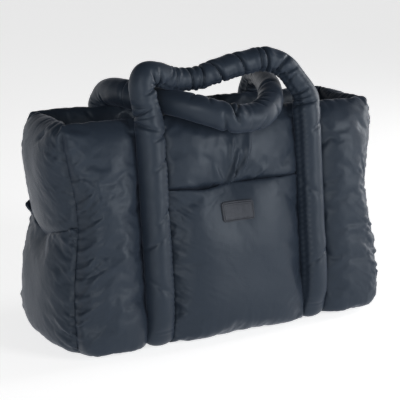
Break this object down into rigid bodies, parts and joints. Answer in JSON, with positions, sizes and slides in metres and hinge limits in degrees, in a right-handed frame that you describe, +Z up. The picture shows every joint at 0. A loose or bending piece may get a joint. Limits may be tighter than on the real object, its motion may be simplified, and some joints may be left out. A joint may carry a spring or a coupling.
{
  "type": "changing bag",
  "caption": "Padded, open-topped puffer changing bag with stuffed tube handles, a front slip pocket and a bottle pocket on each end.",
  "frame": {"origin": "centre of the base on the ground, midway between the two ends and the front and back handle legs", "axes": "+Z up, +X to the bag's right as seen from the front, -Y to the front, where the label is"},
  "size_m": [0.5404, 0.2678, 0.4016],
  "materials": {
    "cover_nylon": "satin-faced nylon, slate navy",
    "lining_nylon": "matt plain-weave nylon, near black",
    "wadding": "bonded polyester fibre",
    "board": "polyethylene board",
    "label_leather": "fine-grained synthetic leather, grey",
    "snap_metal": "gunmetal plating",
    "zip_tape": "woven polyester tape",
    "zip_coil": "moulded nylon coil",
    "zip_metal": "gunmetal plating",
    "elastic": "ribbed woven elastic"
  },
  "bodies": {
    "bag": {"back_cover": "cover_nylon", "back_leg_cores": "wadding", "back_leg_sleeves": "cover_nylon", "back_lining": "lining_nylon", "back_wadding": "wadding", "base_board": "board", "base_cover": "cover_nylon", "base_lining": "lining_nylon", "base_wadding": "wadding", "front_cover": "cover_nylon", "front_leg_cores": "wadding", "front_leg_sleeves": "cover_nylon", "front_lining": "lining_nylon", "front_pocket_snap_socket": "snap_metal", "front_wadding": "wadding", "left_end_cover": "cover_nylon", "left_end_lining": "lining_nylon", "left_end_wadding": "wadding", "left_pocket_snap_socket": "snap_metal", "right_end_cover": "cover_nylon", "right_end_lining": "lining_nylon", "right_end_wadding": "wadding", "right_pocket_snap_socket": "snap_metal", "rim_facing": "cover_nylon", "slip_pocket_elastic": "elastic", "slip_pocket_panel": "lining_nylon", "top_snap_socket": "snap_metal", "top_snap_stud": "snap_metal", "zip_coils": "zip_coil", "zip_pocket_panel": "lining_nylon", "zip_stops": "zip_metal", "zip_tape": "zip_tape"},
    "front_handle": {"front_handle_sleeve": "cover_nylon", "front_handle_core": "wadding"},
    "back_handle": {"back_handle_sleeve": "cover_nylon", "back_handle_core": "wadding"},
    "front_pocket": {"front_pocket_cover": "cover_nylon", "front_pocket_hem": "cover_nylon", "front_pocket_lining": "lining_nylon", "front_pocket_snap_stud": "snap_metal", "front_pocket_wadding": "wadding", "label_patch": "label_leather"},
    "left_pocket": {"left_pocket_cover": "cover_nylon", "left_pocket_hem": "cover_nylon", "left_pocket_lining": "lining_nylon", "left_pocket_snap_stud": "snap_metal", "left_pocket_wadding": "wadding"},
    "right_pocket": {"right_pocket_cover": "cover_nylon", "right_pocket_hem": "cover_nylon", "right_pocket_lining": "lining_nylon", "right_pocket_snap_stud": "snap_metal", "right_pocket_wadding": "wadding"},
    "zip_slider": {"zip_slider": "zip_metal"},
    "zip_puller": {"zip_puller": "zip_metal"}
  },
  "joints": [
    {"name": "front_handle_swing", "type": "hinge", "parent": "bag", "child": "front_handle", "pos_m": [0, -0.09621, 0.31848], "axis": [1, 0, 0], "range_deg": [0, 160]},
    {"name": "back_handle_swing", "type": "hinge", "parent": "bag", "child": "back_handle", "pos_m": [0, 0.09621, 0.31848], "axis": [-1, 0, 0], "range_deg": [0, 24]},
    {"name": "front_pocket_open", "type": "hinge", "parent": "bag", "child": "front_pocket", "pos_m": [0, -0.09875, 0.02414], "axis": [1, 0, 0], "range_deg": [0, 8], "stiffness_Nm_per_rad": 0.4, "springref_deg": -5.73},
    {"name": "left_pocket_open", "type": "hinge", "parent": "bag", "child": "left_pocket", "pos_m": [-0.2515, 0, 0.02], "axis": [0, -1, 0], "range_deg": [0, 10], "stiffness_Nm_per_rad": 0.3, "springref_deg": -6.88},
    {"name": "right_pocket_open", "type": "hinge", "parent": "bag", "child": "right_pocket", "pos_m": [0.2515, 0, 0.02], "axis": [0, 1, 0], "range_deg": [0, 10], "stiffness_Nm_per_rad": 0.3, "springref_deg": -6.88},
    {"name": "zip_slide", "type": "slide", "parent": "bag", "child": "zip_slider", "axis": [1, 0, 0], "range_m": [0, 0.174]},
    {"name": "zip_puller_flip", "type": "hinge", "parent": "zip_slider", "child": "zip_puller", "pos_m": [-0.088, -0.04285, 0.20868], "axis": [0, 0.1224, 0.9925], "range_deg": [0, 150]}
  ],
  "couplings": [
    {"joint": "back_handle_swing", "follows": "front_handle_swing", "ratio": 0.15}
  ]
}
